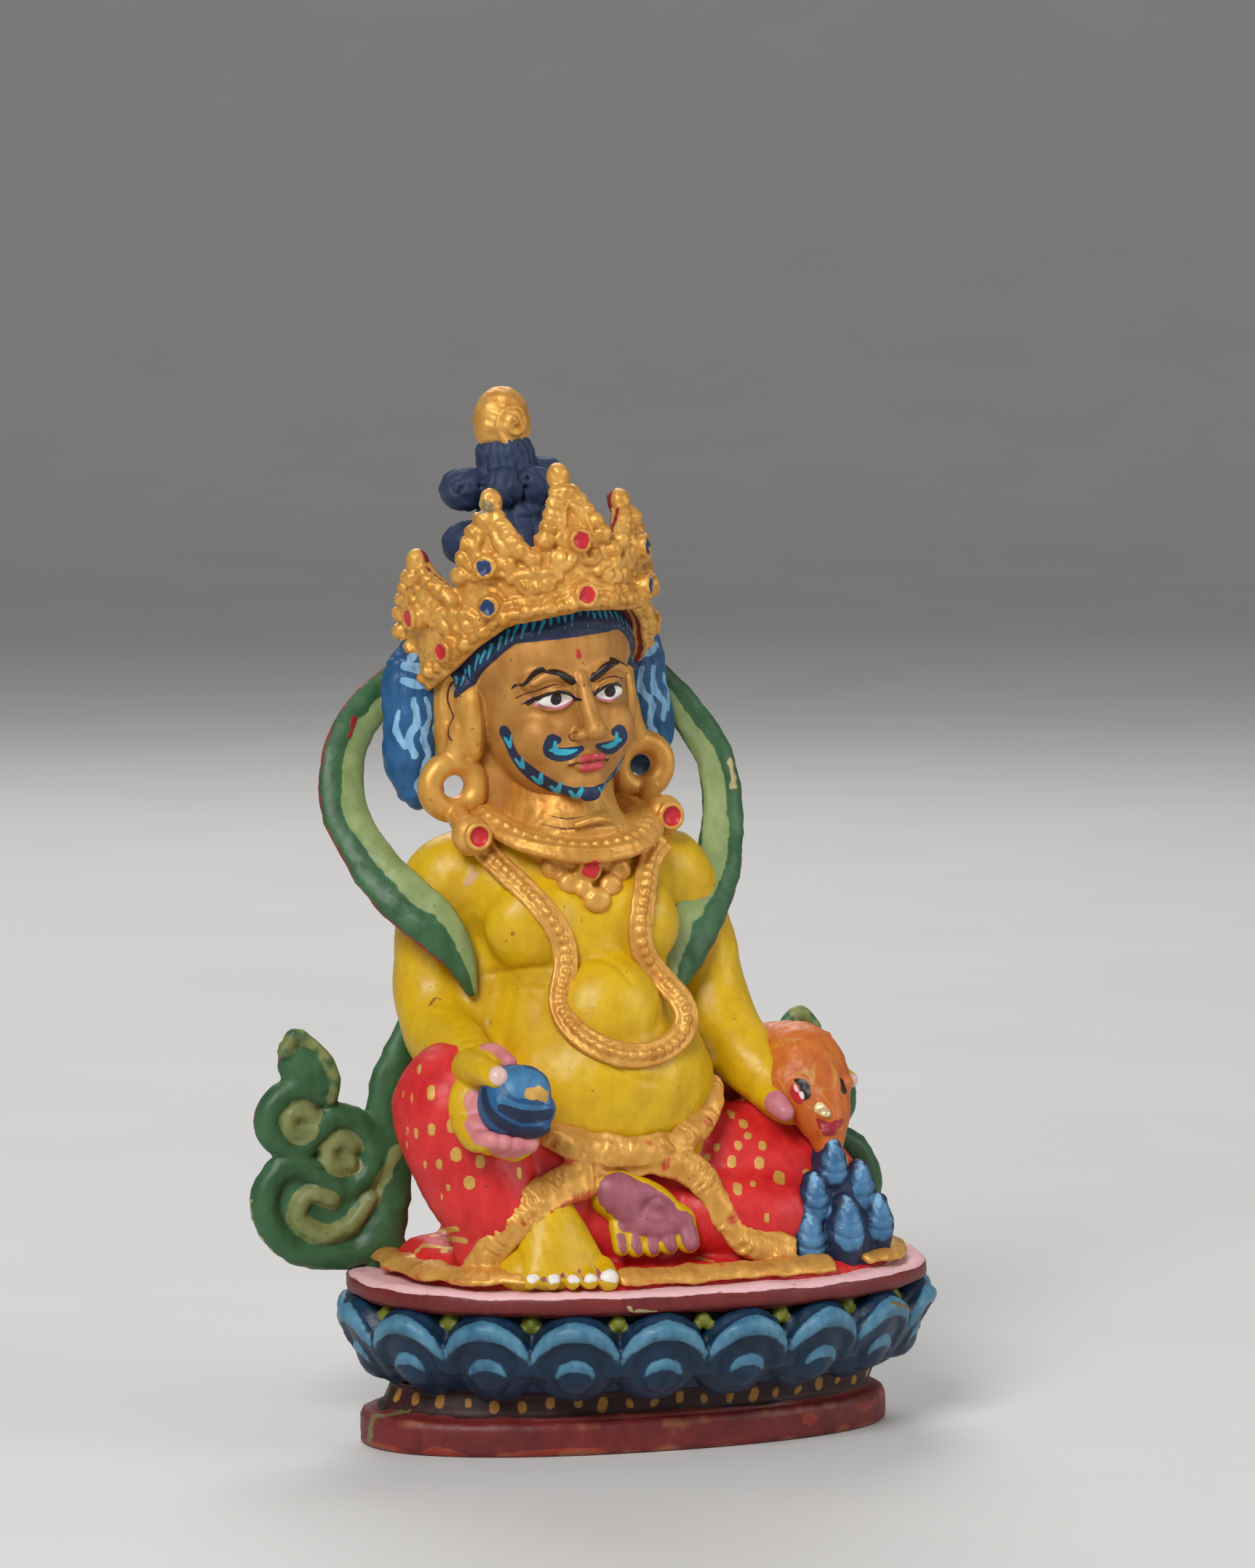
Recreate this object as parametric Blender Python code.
"""A seated deity with a mongoose, cast in one piece with its lotus base and painted.

Frame: +Z up, the figure faces -Y, the origin is the centre of the flat underside.
The base has its own sizes. The figure is a free form: its points are written in
shares of its height, FIGURE_PARTS of them from the platform to the finial's tip.
"""
import math

import bmesh
import bpy
import numpy as np
from mathutils import Euler, Matrix, Vector

for thing in list(bpy.data.objects):
    bpy.data.objects.remove(thing, do_unlink=True)

# Sizes in metres
FIGURE_HEIGHT = 0.0705
FOOT_LENGTH = 0.0442
FOOT_DEPTH = 0.0214
FOOT_HEIGHT = 0.0028
NECK_LENGTH = 0.0410
NECK_DEPTH = 0.0194
NECK_HEIGHT = 0.0023
PETAL_RING_LENGTH = 0.0490
PETAL_RING_DEPTH = 0.0334
PETAL_HEIGHT = 0.0070
PETAL_COUNT = 18
PLATFORM_LENGTH = 0.0480
PLATFORM_DEPTH = 0.0320
RIM_HEIGHT = 0.0017
FOOT_SHIFT = 0.0011
EDGE_ROUND = 0.0005

# The casting's surface: grain of the first blend, grain of the carving, kept facets
BLEND_GRAIN = 0.00045
CARVING_GRAIN = 0.00032
FACETS = 9400

FIGURE_PARTS = 70.5
SHARE = FIGURE_HEIGHT / FIGURE_PARTS
NECK_TOP = FOOT_HEIGHT + NECK_HEIGHT
PETAL_TOP = NECK_TOP + PETAL_HEIGHT
BASE_HEIGHT = PETAL_TOP + RIM_HEIGHT


# Curves and closed shells

def unit(vector):
    return vector / np.linalg.norm(vector)


def smooth_path(points, count):
    """Points along a smooth curve through the given rows."""
    rows = np.asarray(points, float)
    gaps = np.linalg.norm(np.diff(rows[:, :3], axis=0), axis=1)
    knots = np.concatenate([[0.0], np.cumsum(gaps)])
    slopes = np.gradient(rows, knots, axis=0)
    at = np.linspace(0.0, knots[-1], count)
    cell = np.clip(np.searchsorted(knots, at, side="right") - 1, 0, len(rows) - 2)
    span = (knots[cell + 1] - knots[cell])[:, None]
    t = ((at - knots[cell])[:, None]) / span
    a = rows[cell] * (2 * t ** 3 - 3 * t ** 2 + 1)
    b = slopes[cell] * span * (t ** 3 - 2 * t ** 2 + t)
    c = rows[cell + 1] * (3 * t ** 2 - 2 * t ** 3)
    d = slopes[cell + 1] * span * (t ** 3 - t ** 2)
    return a + b + c + d


def skin(bm, rings, closed=False):
    """Joins rings of points into one shell, with a fan over each open end."""
    made = []
    for ring in rings:
        made.append([bm.verts.new(p) for p in ring])
    sides = len(rings[0])
    last = len(made) if closed else len(made) - 1
    for i in range(last):
        low = made[i]
        high = made[(i + 1) % len(made)]
        for j in range(sides):
            k = (j + 1) % sides
            bm.faces.new((low[j], low[k], high[k], high[j]))
    if closed:
        return
    for ring, points in ((made[0], rings[0]), (made[-1], rings[-1])):
        tip = bm.verts.new(np.mean(np.asarray(points), axis=0))
        for j in range(sides):
            bm.faces.new((ring[j], ring[(j + 1) % sides], tip))


def ball(bm, centre, radii, turn=(0, 0, 0), sides=16, frame=None):
    """An ellipsoid, turned by angles in degrees or set in the frame's three axes."""
    if frame is None:
        frame = np.array(Euler([math.radians(a) for a in turn]).to_matrix())
    axes = np.asarray(frame) * np.broadcast_to(radii, (3,))
    rings = []
    steps = sides // 2 + 1
    for i in range(steps):
        polar = math.pi * (i + 0.5) / steps
        ring = []
        for j in range(sides):
            a = 2 * math.pi * j / sides
            ring.append((math.sin(polar) * math.cos(a), math.sin(polar) * math.sin(a),
                         math.cos(polar)))
        rings.append(np.asarray(centre, float) + np.array(ring) @ axes.T)
    skin(bm, rings)


def tube(bm, points, radii, flat=1.0, face=None, sides=12, step=0.5, closed=False):
    """A round or flattened tube along a smooth path, with rounded ends.

    radii are half widths along the path, flat is thickness over width, and face is
    the way that the flat side looks.
    """
    radii = np.broadcast_to(np.asarray(radii, float), (len(points),))
    flats = np.broadcast_to(np.asarray(flat, float), (len(points),))
    rows = np.column_stack([np.asarray(points, float), radii, flats])
    if closed:
        rows = np.vstack([rows, rows[:1]])
    length = np.linalg.norm(np.diff(rows[:, :3], axis=0), axis=1).sum()
    path = smooth_path(rows, max(5, int(length / step) + 1))
    if closed:
        path = path[:-1]
    spine = path[:, :3]
    along = np.gradient(spine, axis=0)
    if closed:
        along = np.roll(spine, -1, axis=0) - np.roll(spine, 1, axis=0)
    along /= np.linalg.norm(along, axis=1)[:, None]
    angles = np.linspace(0.0, 2 * np.pi, sides, endpoint=False)
    guide = np.array([0.3, -0.2, 0.93]) if face is None else np.asarray(face, float)
    if face is None and abs(np.dot(guide, along[0])) > 0.9:
        guide = np.array([1.0, 0.1, 0.0])
    rings = []
    for i, (spot, way) in enumerate(zip(spine, along)):
        over = unit(guide - np.dot(guide, way) * way)
        if face is None:
            guide = over
        across = np.cross(way, over)
        wide = path[i, 3]
        thick = wide * path[i, 4]
        section = [across * wide * math.cos(a) + over * thick * math.sin(a)
                   for a in angles]
        rings.append((spot, way, np.array(section), min(wide, thick)))
    if closed:
        skin(bm, [spot + section for spot, way, section, r in rings], closed=True)
        return
    loops = []
    spot, way, section, r = rings[0]
    for a in (75, 50, 25):
        a = math.radians(a)
        loops.append(spot - way * r * math.sin(a) + section * math.cos(a))
    loops += [spot + section for spot, way, section, r in rings]
    spot, way, section, r = rings[-1]
    for a in (25, 50, 75):
        a = math.radians(a)
        loops.append(spot + way * r * math.sin(a) + section * math.cos(a))
    skin(bm, loops)


def ring_of(a, b, z, power=2.0, sides=96, centre=(0.0, 0.0)):
    """Points of an ellipse, squarer as power grows."""
    points = []
    for k in range(sides):
        t = 2 * math.pi * k / sides
        c = math.cos(t)
        s = math.sin(t)
        x = a * math.copysign(abs(c) ** (2 / power), c)
        y = b * math.copysign(abs(s) ** (2 / power), s)
        points.append((centre[0] + x, centre[1] + y, z))
    return np.array(points)


def even_stations(a, b, count, offset=0.0):
    """Places spaced evenly around an ellipse, with their outward directions."""
    fine = np.linspace(0, 2 * np.pi, 2001)
    x = a * np.cos(fine)
    y = b * np.sin(fine)
    run = np.concatenate([[0], np.cumsum(np.hypot(np.diff(x), np.diff(y)))])
    places = []
    for k in range(count):
        want = run[-1] * (((k + offset) / count + 0.75) % 1.0)
        t = np.interp(want, run, fine)
        out = unit(np.array([math.cos(t) / a, math.sin(t) / b, 0.0]))
        places.append((np.array([FOOT_SHIFT + a * math.cos(t), b * math.sin(t), 0.0]), out))
    return places


# The lotus base, in metres

def base_profile():
    foot = (FOOT_LENGTH / 2, FOOT_DEPTH / 2)
    neck = (NECK_LENGTH / 2, NECK_DEPTH / 2)
    rim = (PLATFORM_LENGTH / 2, PLATFORM_DEPTH / 2)
    petals = (PETAL_RING_LENGTH / 2, PETAL_RING_DEPTH / 2)
    tuck = PETAL_HEIGHT * 0.37
    e = EDGE_ROUND
    return [
        (foot[0], foot[1], -3 * e),
        (foot[0], foot[1], FOOT_HEIGHT - e),
        (foot[0] - e, foot[1] - e, FOOT_HEIGHT),
        (neck[0] + e, neck[1] + e, FOOT_HEIGHT + 0.2 * e),
        (neck[0], neck[1], FOOT_HEIGHT + e),
        (neck[0], neck[1], NECK_TOP - e),
        (neck[0] + e, neck[1] + e, NECK_TOP),
        (petals[0] - 1.6 * tuck, petals[1] - 1.6 * tuck, NECK_TOP + 0.5 * tuck),
        (petals[0] - tuck, petals[1] - tuck, NECK_TOP + 1.1 * tuck),
        (petals[0] - tuck, petals[1] - tuck, PETAL_TOP - e),
        (rim[0] - e, rim[1] - e, PETAL_TOP - 0.5 * e),
        (rim[0], rim[1], PETAL_TOP + 0.5 * e),
        (rim[0], rim[1], BASE_HEIGHT - 1.2 * e),
        (rim[0] - e, rim[1] - e, BASE_HEIGHT - 0.3 * e),
        (rim[0] - 4 * e, rim[1] - 4 * e, BASE_HEIGHT),
        (rim[0] * 0.5, rim[1] * 0.5, BASE_HEIGHT),
    ]


def petal(bm, station, pitch):
    """One petal: a leaning body, its raised lip and the small mound in front."""
    spot, out = station
    side = np.cross(np.array([0.0, 0.0, 1.0]), out)
    rise = unit(np.array([out[0] * 0.55, out[1] * 0.55, 0.83]))
    front = np.cross(side, rise)
    if np.dot(front, out) < 0:
        front = -front
    tall = PETAL_HEIGHT * 0.62
    half = pitch * 0.51
    mid = spot - out * PETAL_HEIGHT * 0.40
    mid = mid + np.array([0.0, 0.0, NECK_TOP + PETAL_HEIGHT * 0.46])
    frame = np.column_stack([side, front, rise])
    ball(bm, mid, (half, PETAL_HEIGHT * 0.27, tall), sides=24, frame=frame)
    mound = mid - rise * tall * 0.16 + front * PETAL_HEIGHT * 0.12
    ball(bm, mound, (half * 0.50, PETAL_HEIGHT * 0.24, tall * 0.46), sides=16, frame=frame)
    arc = []
    for degrees in range(-100, 101, 20):
        a = math.radians(degrees)
        arc.append(mid + side * half * 0.80 * math.sin(a)
                   + rise * tall * (0.78 * math.cos(a) + 0.06)
                   + front * PETAL_HEIGHT * 0.15)
    tube(bm, arc, PETAL_HEIGHT * 0.10, sides=10, step=PETAL_HEIGHT * 0.07)


def lotus(bm):
    rings = []
    for a, b, z in base_profile():
        shift = FOOT_SHIFT * min(1.0, max(0.0, (z - FOOT_HEIGHT) / NECK_HEIGHT))
        rings.append(ring_of(a, b, z, power=2.2, centre=(shift, 0.0)))
    skin(bm, rings)
    a = PETAL_RING_LENGTH / 2
    b = PETAL_RING_DEPTH / 2
    around = math.pi * (3 * (a + b) - math.sqrt((3 * a + b) * (a + 3 * b)))
    for station in even_stations(a, b, PETAL_COUNT, offset=0.5):
        petal(bm, station, around / PETAL_COUNT)
    for spot, out in even_stations(a, b, PETAL_COUNT):
        bead = spot - out * PETAL_HEIGHT * 0.27
        bead[2] = PETAL_TOP - PETAL_HEIGHT * 0.13
        ball(bm, bead, PETAL_HEIGHT * 0.10, sides=8)


# The figure, in shares of its height, z counted from the platform

def torso(bm):
    sections = [
        (-3.6, 2.0, 11.5, 8.0, 0.0),
        (-3.6, 1.0, 11.2, 8.0, 4.0),
        (-3.6, -0.6, 9.8, 8.2, 9.0),
        (-3.6, -1.6, 9.6, 8.3, 14.0),
        (-3.7, -1.2, 9.0, 7.7, 18.0),
        (-4.2, 0.2, 7.4, 6.2, 22.5),
        (-4.8, 0.8, 8.0, 6.0, 26.5),
        (-5.0, 1.4, 9.0, 5.6, 30.5),
        (-5.0, 2.0, 8.6, 4.9, 33.0),
        (-5.1, 2.2, 6.0, 4.3, 35.2),
    ]
    rows = smooth_path([(x, y, z, a, b) for x, y, a, b, z in sections], 40)
    skin(bm, [ring_of(r[3], r[4], r[2], sides=40, centre=(r[0], r[1])) for r in rows])
    ball(bm, (-3.6, -2.3, 14.8), (9.6, 7.8, 7.6), sides=32)
    ball(bm, (-4.0, -4.6, 20.6), (5.0, 4.4, 4.9), sides=24)
    for x in (-8.9, -1.0):
        ball(bm, (x, -2.6, 27.6), (4.3, 2.7, 3.9), sides=20)
    tube(bm, [(-5.2, 2.3, 32.0), (-5.4, 1.8, 35.6), (-5.6, 1.6, 40.0)], [6.4, 5.2, 4.3],
         sides=24)


def arms(bm):
    tube(bm, [(-10.6, 2.8, 31.6), (-13.9, 3.7, 31.0), (-15.2, 4.0, 26.5),
              (-15.5, 3.4, 21.6), (-15.7, 0.6, 18.7), (-15.8, -3.5, 17.7),
              (-15.7, -7.2, 17.1), (-15.6, -9.6, 16.2)],
         [3.4, 3.7, 3.3, 3.2, 3.0, 2.8, 2.2, 2.2], sides=24)
    tube(bm, [(1.0, 2.8, 31.4), (4.2, 3.7, 30.9), (6.6, 4.0, 26.5), (7.9, 3.4, 21.2),
              (8.5, 0.8, 18.1), (9.2, -1.9, 16.4), (10.4, -4.0, 14.4),
              (11.8, -5.2, 12.9)],
         [3.4, 3.7, 3.4, 3.3, 3.0, 2.7, 2.3, 2.0], sides=24)


def legs(bm):
    tube(bm, [(-5.0, 2.5, 7.0), (-10.5, -0.8, 9.6), (-16.3, -5.6, 13.9)],
         [6.4, 6.2, 5.4], sides=24)
    tube(bm, [(-16.7, -5.9, 13.6), (-15.6, -6.7, 9.2), (-13.5, -7.7, 5.6),
              (-10.6, -9.0, 3.6)], [5.2, 4.7, 4.1, 3.0], sides=24)
    tube(bm, [(1.5, 1.5, 7.4), (7.0, -1.2, 7.0), (13.2, -3.4, 5.3)], [6.4, 5.9, 5.3],
         sides=24)
    tube(bm, [(13.6, -5.2, 3.8), (8.6, -7.4, 3.9), (3.6, -8.0, 4.6)], [3.8, 3.7, 3.2],
         sides=24)
    ball(bm, (-8.0, -4.8, 6.0), (5.6, 4.4, 5.6), sides=24)
    ball(bm, (-8.6, -6.6, 7.2), (4.8, 3.6, 4.8), sides=20)
    ball(bm, (-3.0, -5.6, 4.5), (6.8, 4.6, 5.2), sides=24)
    ball(bm, (12.6, -1.4, 10.4), (4.4, 4.0, 5.0), sides=20)
    ball(bm, (-16.8, -1.5, 0.9), (4.4, 6.5, 2.4), sides=20)


def cloth(bm):
    rings = []
    for a, b, z in ((21.4, 13.9, -0.6), (21.2, 13.7, 0.5), (20.6, 13.1, 1.0),
                    (18.0, 11.0, 1.3), (9.0, 6.0, 1.5)):
        rings.append(ring_of(a, b, z, power=2.5, sides=80, centre=(0.6, -0.6)))
    skin(bm, rings)


def feet(bm):
    tube(bm, [(-10.2, -8.8, 4.2), (-9.7, -10.4, 2.9), (-9.3, -12.4, 1.2)],
         [2.4, 2.9, 3.4], flat=[1.0, 0.75, 0.40], face=(0, -0.4, 1), sides=20)
    for x, y, r in ((-12.3, -12.8, 0.62), (-11.1, -13.4, 0.68), (-9.8, -13.8, 0.72),
                    (-8.4, -14.0, 0.78), (-6.8, -13.9, 1.02)):
        tube(bm, [(x, y + 1.6, 1.2), (x, y, 0.9)], [r * 0.95, r], sides=12)
    ball(bm, (-2.6, -9.9, 5.2), (2.8, 1.9, 4.0), turn=(8, 40, 0), sides=24)
    for x, z, r in ((-3.6, 2.3, 0.62), (-2.4, 2.0, 0.66), (-1.2, 1.9, 0.70),
                    (0.1, 2.1, 0.76), (1.5, 2.7, 1.05)):
        tube(bm, [(x - 0.6, -10.2, z + 1.6), (x, -11.0, z)], [r, r], sides=12)


def hands(bm):
    ball(bm, (-15.4, -11.0, 14.3), (3.1, 1.7, 3.4), turn=(-15, 0, -10), sides=20)
    for k in range(4):
        tube(bm, [(-17.2 + 1.25 * k, -11.6, 12.8 - 0.5 * k),
                  (-16.4 + 1.35 * k, -13.4, 11.6 - 0.1 * k),
                  (-15.4 + 1.35 * k, -14.7, 12.0)], [0.95, 0.9, 0.8], sides=12)
    tube(bm, [(-17.0, -10.0, 16.6), (-16.4, -12.6, 17.4), (-14.9, -14.9, 17.0)],
         [1.2, 1.0, 0.85], sides=12)
    tube(bm, [(-14.6, -10.2, 17.6), (-13.2, -12.0, 17.4), (-12.6, -13.2, 16.6)],
         [0.95, 0.9, 0.75], sides=12)
    ball(bm, (-13.7, -14.2, 14.9), (2.9, 2.7, 2.6), turn=(0, 25, 0), sides=24)
    tube(bm, [(9.8, -4.6, 13.6), (10.6, -6.8, 12.5), (11.7, -8.2, 11.4)],
         [1.1, 1.1, 0.85], sides=12)
    for k in range(2):
        tube(bm, [(13.6, -1.8 + k * 1.5, 13.4), (16.4, -2.2 + k * 1.5, 14.6),
                  (17.3, -3.6 + k * 1.5, 13.9)], [0.95, 0.9, 0.75], sides=12)


def mongoose(bm):
    tube(bm, [(8.8, 7.4, 0.5), (8.6, 7.2, 5.5), (9.4, 5.2, 11.5), (10.8, 1.5, 15.6),
              (13.0, -1.6, 16.4)], [3.2, 3.2, 2.8, 2.6, 2.7], sides=20)
    tube(bm, [(13.2, -1.4, 16.2), (14.0, -3.6, 15.9), (14.2, -6.0, 13.4),
              (14.1, -7.9, 11.0), (13.9, -8.5, 9.9)], [2.9, 3.3, 2.7, 1.75, 1.3],
         sides=24)
    ball(bm, (14.2, -8.9, 11.3), (0.7, 0.6, 0.55), sides=10)


def jewel(bm, spot, size):
    tube(bm, [np.array(spot) + np.array([0, 0.3, -0.9]) * size,
              np.array(spot) + np.array([0, 0.0, 0.1]) * size,
              np.array(spot) + np.array([0, 0.1, 1.25]) * size],
         [0.85 * size, 1.0 * size, 0.30 * size], sides=14, step=0.3)


def jewels(bm):
    tube(bm, [(13.8, -8.0, 9.2), (14.1, -8.2, 6.4), (14.4, -8.0, 3.2),
              (14.5, -7.6, 0.4)], [1.1, 1.9, 3.1, 3.7], sides=20)
    for spot in ((14.0, -9.2, 7.9), (12.1, -9.6, 5.0), (16.6, -8.6, 5.7),
                 (11.1, -10.0, 1.9), (14.3, -10.9, 2.6), (17.6, -9.2, 2.6),
                 (16.4, -6.0, 3.0)):
        jewel(bm, spot, 1.4)


# The scarf behind the head, and the scrolled tails beside the seat

def scarf(bm):
    loop = [
        (-13.9, -1.2, 22.6, 0.5), (-14.8, -1.3, 25.0, 1.4), (-16.6, -0.8, 27.6, 2.1),
        (-18.9, 0.6, 29.9, 2.25), (-21.2, 3.4, 33.4, 2.0), (-22.4, 5.4, 37.0, 1.95),
        (-22.0, 6.6, 40.8, 1.85), (-20.2, 8.0, 43.8, 1.7), (-16.8, 9.2, 46.6, 1.5),
        (-11.5, 9.6, 48.6, 1.4), (-5.8, 9.6, 49.2, 1.4), (0.2, 9.6, 48.8, 1.4),
        (4.6, 9.2, 47.0, 1.5), (8.0, 8.0, 43.4, 1.6), (9.8, 6.5, 39.8, 1.7),
        (10.0, 5.4, 35.9, 1.8), (9.1, 3.6, 32.2, 2.0), (7.0, 1.4, 28.8, 2.25),
        (4.7, -0.4, 25.7, 2.1), (3.2, -1.4, 22.6, 1.3), (2.9, -1.6, 21.0, 0.5)]
    rows = np.array(loop)
    tube(bm, rows[:, :3], rows[:, 3], flat=np.clip(0.8 / rows[:, 3], 0.3, 1.0),
         face=(0.0, -1.0, 0.15), sides=16)


def tail(bm, place):
    """A ribbon from elbow to platform, and beside it a plate with one coiling rope."""
    depth = 4.4
    rope = [(-24.4, 14.0), (-26.9, 14.4), (-28.6, 13.5), (-29.2, 12.0), (-28.5, 10.5),
            (-26.8, 9.8), (-25.3, 10.8), (-23.6, 12.1), (-21.9, 11.7), (-20.7, 10.3),
            (-20.4, 8.5), (-21.3, 6.9), (-23.0, 6.4), (-24.8, 7.5), (-26.7, 8.3),
            (-28.3, 8.0), (-29.3, 6.6), (-29.5, 4.8), (-28.7, 3.0), (-26.7, 1.4),
            (-24.2, 0.9), (-21.9, 1.0), (-20.2, 2.0)]
    tube(bm, [place(x, depth, z) for x, z in rope], 1.12, sides=12)
    leaf = [(-27.5, 18.2), (-26.5, 16.6), (-25.2, 14.9), (-24.6, 13.6)]
    tube(bm, [place(x, depth, z) for x, z in leaf], [0.9, 1.9, 1.8, 1.0], flat=0.55,
         face=(0, -1, 0), sides=14)
    for x, z, r in ((-26.8, 11.9, 1.9), (-23.1, 9.2, 2.0), (-25.6, 5.0, 3.2),
                    (-23.4, 3.6, 2.8), (-22.0, 5.2, 2.0)):
        ball(bm, place(x, depth + 0.2, z), (r, 0.75, r), sides=16)
    for hook in ([(-25.9, 11.1), (-27.2, 11.0), (-27.4, 12.4), (-26.3, 12.8)],
                 [(-22.4, 8.3), (-24.0, 8.4), (-24.0, 10.0), (-22.8, 10.3)],
                 [(-24.0, 5.6), (-26.0, 6.0), (-26.7, 4.4), (-25.0, 2.9), (-22.6, 3.4),
                  (-20.8, 5.4)]):
        tube(bm, [place(x, depth - 0.5, z) for x, z in hook], 0.62, sides=10)
    ribbon = [(-16.6, 21.0, 1.1), (-17.6, 18.0, 1.3), (-18.9, 15.2, 1.5),
              (-19.3, 12.5, 1.6), (-19.0, 9.8, 1.6), (-18.7, 7.1, 1.6),
              (-19.0, 4.4, 1.7), (-19.6, 2.0, 1.9), (-19.2, 0.0, 2.0)]
    tube(bm, [place(x, depth, z) for x, z, w in ribbon], [w for x, z, w in ribbon],
         flat=0.62, face=(0, -1, 0), sides=14)


def tails(bm):
    tail(bm, lambda x, y, z: (x, y, z))
    tail(bm, lambda x, y, z: (-10.4 - x + 0.27 * (18.6 - z), y + 0.6, z))


# The head, in a frame of its own: origin at the neck, face towards -Y

NECK_PIVOT = Vector((-5.3, 1.5, 36.0))
HEAD_TURN = Euler((0.0, math.radians(-5.5), math.radians(7.0)))


def face(bm):
    ball(bm, (0, 0.6, 10.0), (6.2, 6.6, 8.4), sides=32)
    ball(bm, (0, -1.6, 6.6), (5.2, 4.6, 5.2), sides=28)
    ball(bm, (0, -4.3, 3.3), (2.2, 1.7, 1.7), sides=16)
    for s in (-1, 1):
        ball(bm, (3.1 * s, -3.6, 7.0), (2.2, 2.1, 2.4), sides=16)
        ball(bm, (2.5 * s, -4.6, 11.6), (2.4, 1.5, 1.0), sides=16)


def features(bm):
    tube(bm, [(0, -5.5, 11.2), (0, -6.5, 9.0), (0, -7.35, 7.4)], [0.62, 0.70, 0.95],
         sides=14, step=0.3)
    for s in (-1, 1):
        ball(bm, (0.85 * s, -6.5, 7.2), (0.62, 0.85, 0.62), sides=12)
        ball(bm, (2.45 * s, -5.35, 10.1), (1.35, 0.75, 0.72), sides=14)
    ball(bm, (0, -6.1, 5.25), (1.5, 0.75, 0.5), sides=12)
    ball(bm, (0, -6.0, 4.45), (1.25, 0.75, 0.5), sides=12)


def ears(bm):
    for s in (-1, 1):
        tube(bm, [(6.5 * s, 0.4, 11.6), (7.0 * s, 1.7, 12.4), (7.3 * s, 3.0, 11.0),
                  (7.2 * s, 2.7, 8.6), (7.2 * s, 2.0, 6.6), (7.5 * s, 1.8, 4.8)],
             [0.7, 0.8, 0.85, 0.8, 0.9, 0.9], sides=12)
        ball(bm, (6.6 * s, 1.6, 9.6), (1.1, 1.7, 3.0), sides=14)
        loop = [(8.3 * s + 2.0 * math.cos(a), 2.1, 2.7 + 1.5 * math.sin(a))
                for a in np.linspace(0, 2 * np.pi, 16, endpoint=False)]
        tube(bm, loop, 0.98, sides=12, closed=True)
        tube(bm, [(8.3 * s, 1.4, 1.4), (8.3 * s, -0.4, 0.2)], 1.0, sides=12)
        ball(bm, (8.3 * s, -2.0, -0.9), (1.7, 1.5, 1.7), sides=16)
        tube(bm, [(7.6 * s, 3.4, 12.5), (8.2 * s, 3.4, 8.0), (8.4 * s, 1.6, 4.6)],
             [1.3, 1.1, 0.9], sides=12)


LEAVES = ((-94, 21, 22.3), (-48, 19, 26.8), (0, 19, 28.3), (48, 19, 25.6), (94, 21, 21.6))


def crown_edge(theta):
    """Lower and upper height of the crown at an angle from the front, in degrees."""
    a = abs(theta)
    low = np.interp(a, [0, 40, 62, 80, 100, 125, 150], [17.2, 16.6, 14.8, 12.9, 11.2, 10.6, 12.5])
    dip = np.interp(a, [0, 24, 70, 128, 150], [22.4, 22.4, 19.6, 13.8, 14.5])
    high = dip
    for middle, half, tip in LEAVES:
        off = abs(theta - middle) / half
        if off < 1.0:
            high = max(high, dip + (tip - dip) * (1.0 - off) ** 0.8)
    return low, high


def crown_radius(theta, z):
    a = abs(theta)
    flare = np.interp(z, [11, 17, 21, 24, 28], [7.5, 8.0, 8.0, 7.7, 5.8])
    return flare + np.interp(a, [0, 40, 70, 100, 130, 150], [0.3, 0.4, 0.6, 2.0, 3.2, 3.0])


def crown_point(theta, z, out=0.0):
    r = crown_radius(theta, z) + out
    t = math.radians(theta)
    return np.array([r * math.sin(t), 1.6 - r * math.cos(t), z])


def crown(bm):
    columns = []
    for theta in np.linspace(-146, 146, 74):
        low, high = crown_edge(theta)
        levels = np.linspace(low, high, 10)
        column = [crown_point(theta, z, 0.55) for z in levels]
        column += [crown_point(theta, z, -0.75) for z in levels[::-1]]
        columns.append(np.array(column))
    skin(bm, columns)
    for theta, z, r in ((0, 18.3, 1.05), (0, 22.6, 1.0), (48, 18.0, 0.95),
                        (48, 21.2, 0.95), (76, 14.6, 1.0), (92, 17.3, 1.0)):
        for s in ((-1, 1) if theta else (1,)):
            ball(bm, crown_point(theta * s, z, 0.7), r, sides=12)
    for middle, half, tip in LEAVES:
        ball(bm, crown_point(middle, tip - 0.5, 0.0), (0.85, 0.85, 1.0), sides=12)
        for step in range(1, 4):
            z = tip - 0.6 - 1.3 * step
            for side in (-1, 1):
                spot = crown_point(middle + side * (3.5 + 3.4 * step), z, 0.35)
                ball(bm, spot, 0.9, sides=10)
    band = [crown_point(t, np.interp(abs(t), [0, 40, 62, 80], [17.6, 17.1, 15.4, 13.5]),
                        0.45) for t in range(-80, 81, 8)]
    tube(bm, band, 0.75, sides=12)


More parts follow.
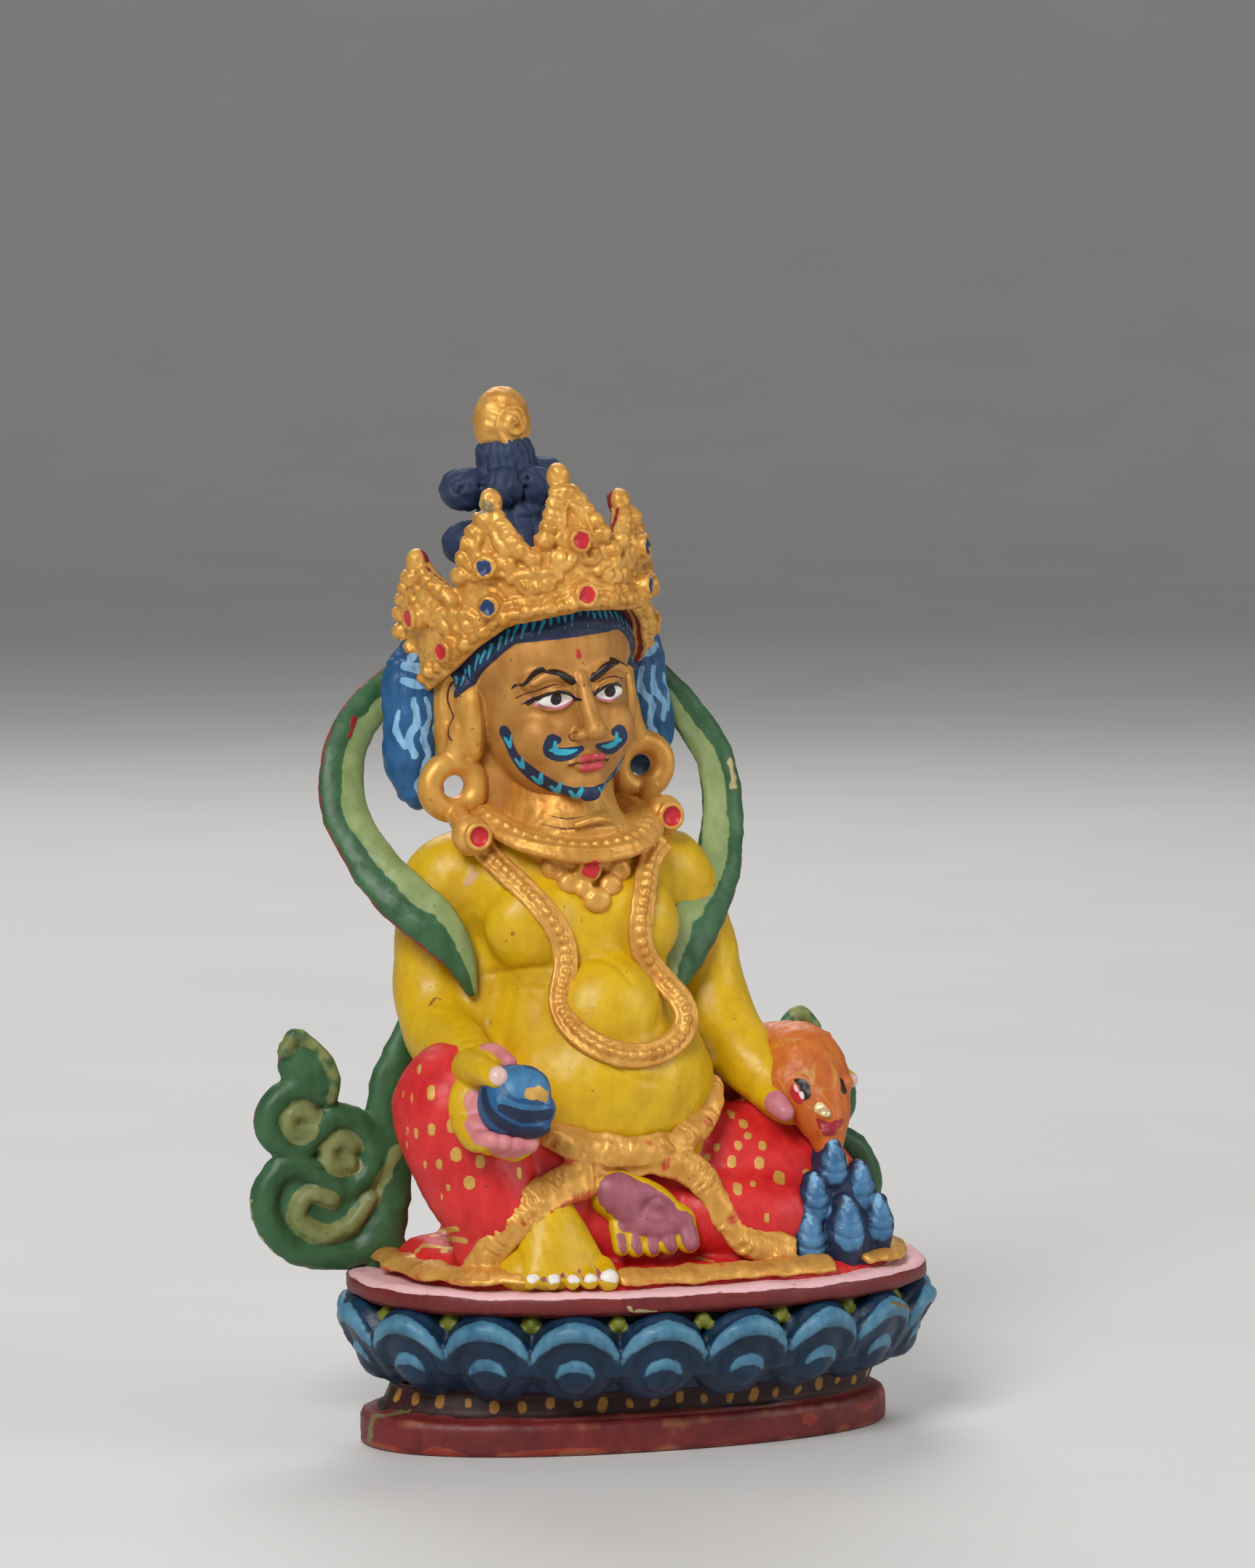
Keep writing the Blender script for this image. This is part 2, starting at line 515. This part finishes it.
def hair(bm):
    ball(bm, (0, 2.2, 11.6), (7.0, 6.6, 8.6), sides=28)
    tube(bm, [(0.2, 3.6, 18.5), (0.3, 4.8, 22.5), (0.4, 5.6, 27.0), (0.5, 5.8, 28.6)],
         [4.6, 3.6, 2.9, 1.9], sides=20)
    for x, y, z, r in ((-3.5, 6.2, 26.6, 2.0), (3.7, 5.8, 26.6, 2.0),
                       (0.4, 3.4, 25.6, 1.9), (0.4, 7.6, 26.0, 1.8),
                       (-3.5, 6.2, 22.0, 2.1), (3.2, 6.0, 22.0, 2.1)):
        ball(bm, (x, y, z), (r, r * 0.95, r * 0.85), sides=14)
    for s in (-1, 1):
        tube(bm, [(9.0 * s, 4.8, 14.4), (10.2 * s, 4.6, 11.8), (10.6 * s, 4.6, 8.6),
                  (10.4 * s, 4.5, 5.4), (9.8 * s, 4.3, 3.0)],
             [1.5, 2.4, 2.5, 2.6, 1.9], flat=0.8, face=(0, -1, 0), sides=16)


def finial(bm):
    ball(bm, (0.5, 5.8, 29.6), (1.5, 1.5, 0.9), sides=14)
    ball(bm, (0.55, 5.8, 31.9), (2.45, 2.1, 2.6), sides=20)


def jewellery(bm):
    collar = [(-11.7, -0.2, 35.8), (-9.6, -3.0, 34.5), (-5.3, -4.3, 33.7),
              (-0.9, -3.0, 34.3), (1.3, 0.0, 35.6), (1.0, 3.6, 36.6), (-5.2, 6.6, 37.0),
              (-11.3, 3.8, 36.6)]
    tube(bm, collar, 1.5, flat=0.6, face=(0, -0.55, 1), sides=14, closed=True)
    cord = [(-13.2, -1.0, 34.6), (-11.8, -3.2, 32.6), (-9.7, -4.9, 29.8),
            (-8.3, -5.4, 26.8), (-8.2, -5.6, 24.4), (-9.5, -7.0, 22.2),
            (-8.8, -9.0, 19.9), (-6.4, -10.0, 18.2), (-3.6, -10.3, 17.7),
            (-0.5, -9.9, 18.2), (1.5, -8.6, 19.8), (1.4, -7.0, 22.0),
            (-0.6, -5.9, 24.2), (-1.6, -5.6, 26.4), (-0.9, -5.2, 29.6),
            (0.5, -4.2, 32.4), (2.4, -2.2, 34.6)]
    tube(bm, cord, 0.85, sides=12)
    for spot, r in (((-5.0, -5.0, 32.4), 1.0), ((-7.2, -4.8, 32.2), 1.05),
                    ((-6.2, -5.2, 30.9), 0.95), ((-2.6, -4.7, 31.9), 1.05),
                    ((-3.6, -5.0, 30.7), 0.95), ((-4.6, -5.3, 29.6), 1.0)):
        ball(bm, spot, (r, 0.8, r), sides=12)
    waist = [(-12.6, -5.0, 13.2), (-10.4, -7.9, 12.0), (-7.4, -9.7, 10.9),
             (-3.8, -10.2, 10.3), (0.2, -9.6, 10.7), (3.4, -7.6, 12.2), (5.2, -4.8, 15.0)]
    tube(bm, waist, 1.3, flat=0.6, face=(0, -1, 0.35), sides=14)
    cuff_r = [(-14.0, -10.2, 1.4), (-12.9, -11.2, 3.4), (-10.2, -11.3, 5.6),
              (-7.6, -10.2, 7.4), (-5.6, -9.4, 8.8)]
    tube(bm, cuff_r, 1.45, flat=0.6, face=(0, -1, 0.3), sides=14)
    cuff_l = [(-5.0, -9.4, 9.2), (-1.6, -9.8, 9.6), (1.8, -10.2, 8.4),
              (3.8, -10.6, 5.6), (5.4, -11.0, 3.2), (9.4, -11.4, 1.7)]
    tube(bm, cuff_l, 1.3, flat=0.55, face=(0, -1, 0.3), sides=14)


# Blending and finishing

def to_mesh(bm, name):
    mesh = bpy.data.meshes.new(name)
    bm.to_mesh(mesh)
    bm.free()
    return mesh


def blended(mesh, grain, rounds):
    """Unites the overlapping shells of a mesh in one skin and softens it."""
    thing = bpy.data.objects.new("blend", mesh)
    bpy.context.scene.collection.objects.link(thing)
    melt = thing.modifiers.new("melt", "REMESH")
    melt.mode = "VOXEL"
    melt.voxel_size = grain
    soften = thing.modifiers.new("soften", "SMOOTH")
    soften.factor = 0.5
    soften.iterations = rounds
    graph = bpy.context.evaluated_depsgraph_get()
    result = bpy.data.meshes.new_from_object(thing.evaluated_get(graph))
    bpy.data.objects.remove(thing, do_unlink=True)
    return result


def figure_mesh(makers, head_makers):
    """The figure's shells at their real size, on the platform."""
    bm = bmesh.new()
    for maker in head_makers:
        maker(bm)
    turn = Matrix.Translation(NECK_PIVOT) @ HEAD_TURN.to_matrix().to_4x4()
    bmesh.ops.transform(bm, matrix=turn, verts=bm.verts)
    for maker in makers:
        maker(bm)
    place = Matrix.Translation((0, 0, BASE_HEIGHT)) @ Matrix.Scale(SHARE, 4)
    place = place @ Matrix.Translation((0.4, 0, 0))
    bmesh.ops.transform(bm, matrix=place, verts=bm.verts)
    return bm


def largest_body(bm):
    """Leaves only the outer skin of the casting."""
    left = set(bm.verts)
    bodies = []
    while left:
        start = left.pop()
        body = {start}
        edge = [start]
        while edge:
            v = edge.pop()
            for e in v.link_edges:
                w = e.other_vert(v)
                if w in left:
                    left.discard(w)
                    body.add(w)
                    edge.append(w)
        bodies.append(body)
    bodies.sort(key=len, reverse=True)
    for body in bodies[1:]:
        bmesh.ops.delete(bm, geom=list(body), context="VERTS")


def statue():
    soft = figure_mesh((torso, arms, legs, cloth, feet), (face,))
    body = blended(to_mesh(soft, "masses"), BLEND_GRAIN, 10)
    bm = figure_mesh((hands, mongoose, jewels, scarf, tails, jewellery),
                     (features, ears, crown, hair, finial))
    lotus(bm)
    bm.from_mesh(body)
    carved = blended(to_mesh(bm, "carving"), CARVING_GRAIN, 2)
    thing = bpy.data.objects.new("statue", carved)
    bpy.context.scene.collection.objects.link(thing)
    thin = thing.modifiers.new("thin", "DECIMATE")
    triangles = sum(len(p.vertices) - 2 for p in carved.polygons)
    thin.ratio = FACETS / triangles
    graph = bpy.context.evaluated_depsgraph_get()
    mesh = bpy.data.meshes.new_from_object(thing.evaluated_get(graph))
    thing.modifiers.clear()
    bm = bmesh.new()
    bm.from_mesh(mesh)
    bmesh.ops.bisect_plane(bm, geom=bm.verts[:] + bm.edges[:] + bm.faces[:],
                           plane_co=(0, 0, 0), plane_no=(0, 0, 1), clear_inner=True)
    rim = [e for e in bm.edges if e.is_boundary]
    bmesh.ops.edgeloop_fill(bm, edges=rim)
    largest_body(bm)
    bmesh.ops.triangulate(bm, faces=bm.faces[:])
    bmesh.ops.recalc_face_normals(bm, faces=bm.faces[:])
    thing.data = to_mesh(bm, "statue")
    thing.data.shade_smooth()
    thing.data.set_sharp_from_angle(angle=math.radians(50))
    paint = bpy.data.materials.new("painted_casting")
    paint.use_nodes = True
    shader = paint.node_tree.nodes["Principled BSDF"]
    shader.inputs["Base Color"].default_value = (0.55, 0.33, 0.03, 1.0)
    shader.inputs["Roughness"].default_value = 0.5
    shader.inputs["Metallic"].default_value = 0.0
    thing.data.materials.append(paint)


statue()
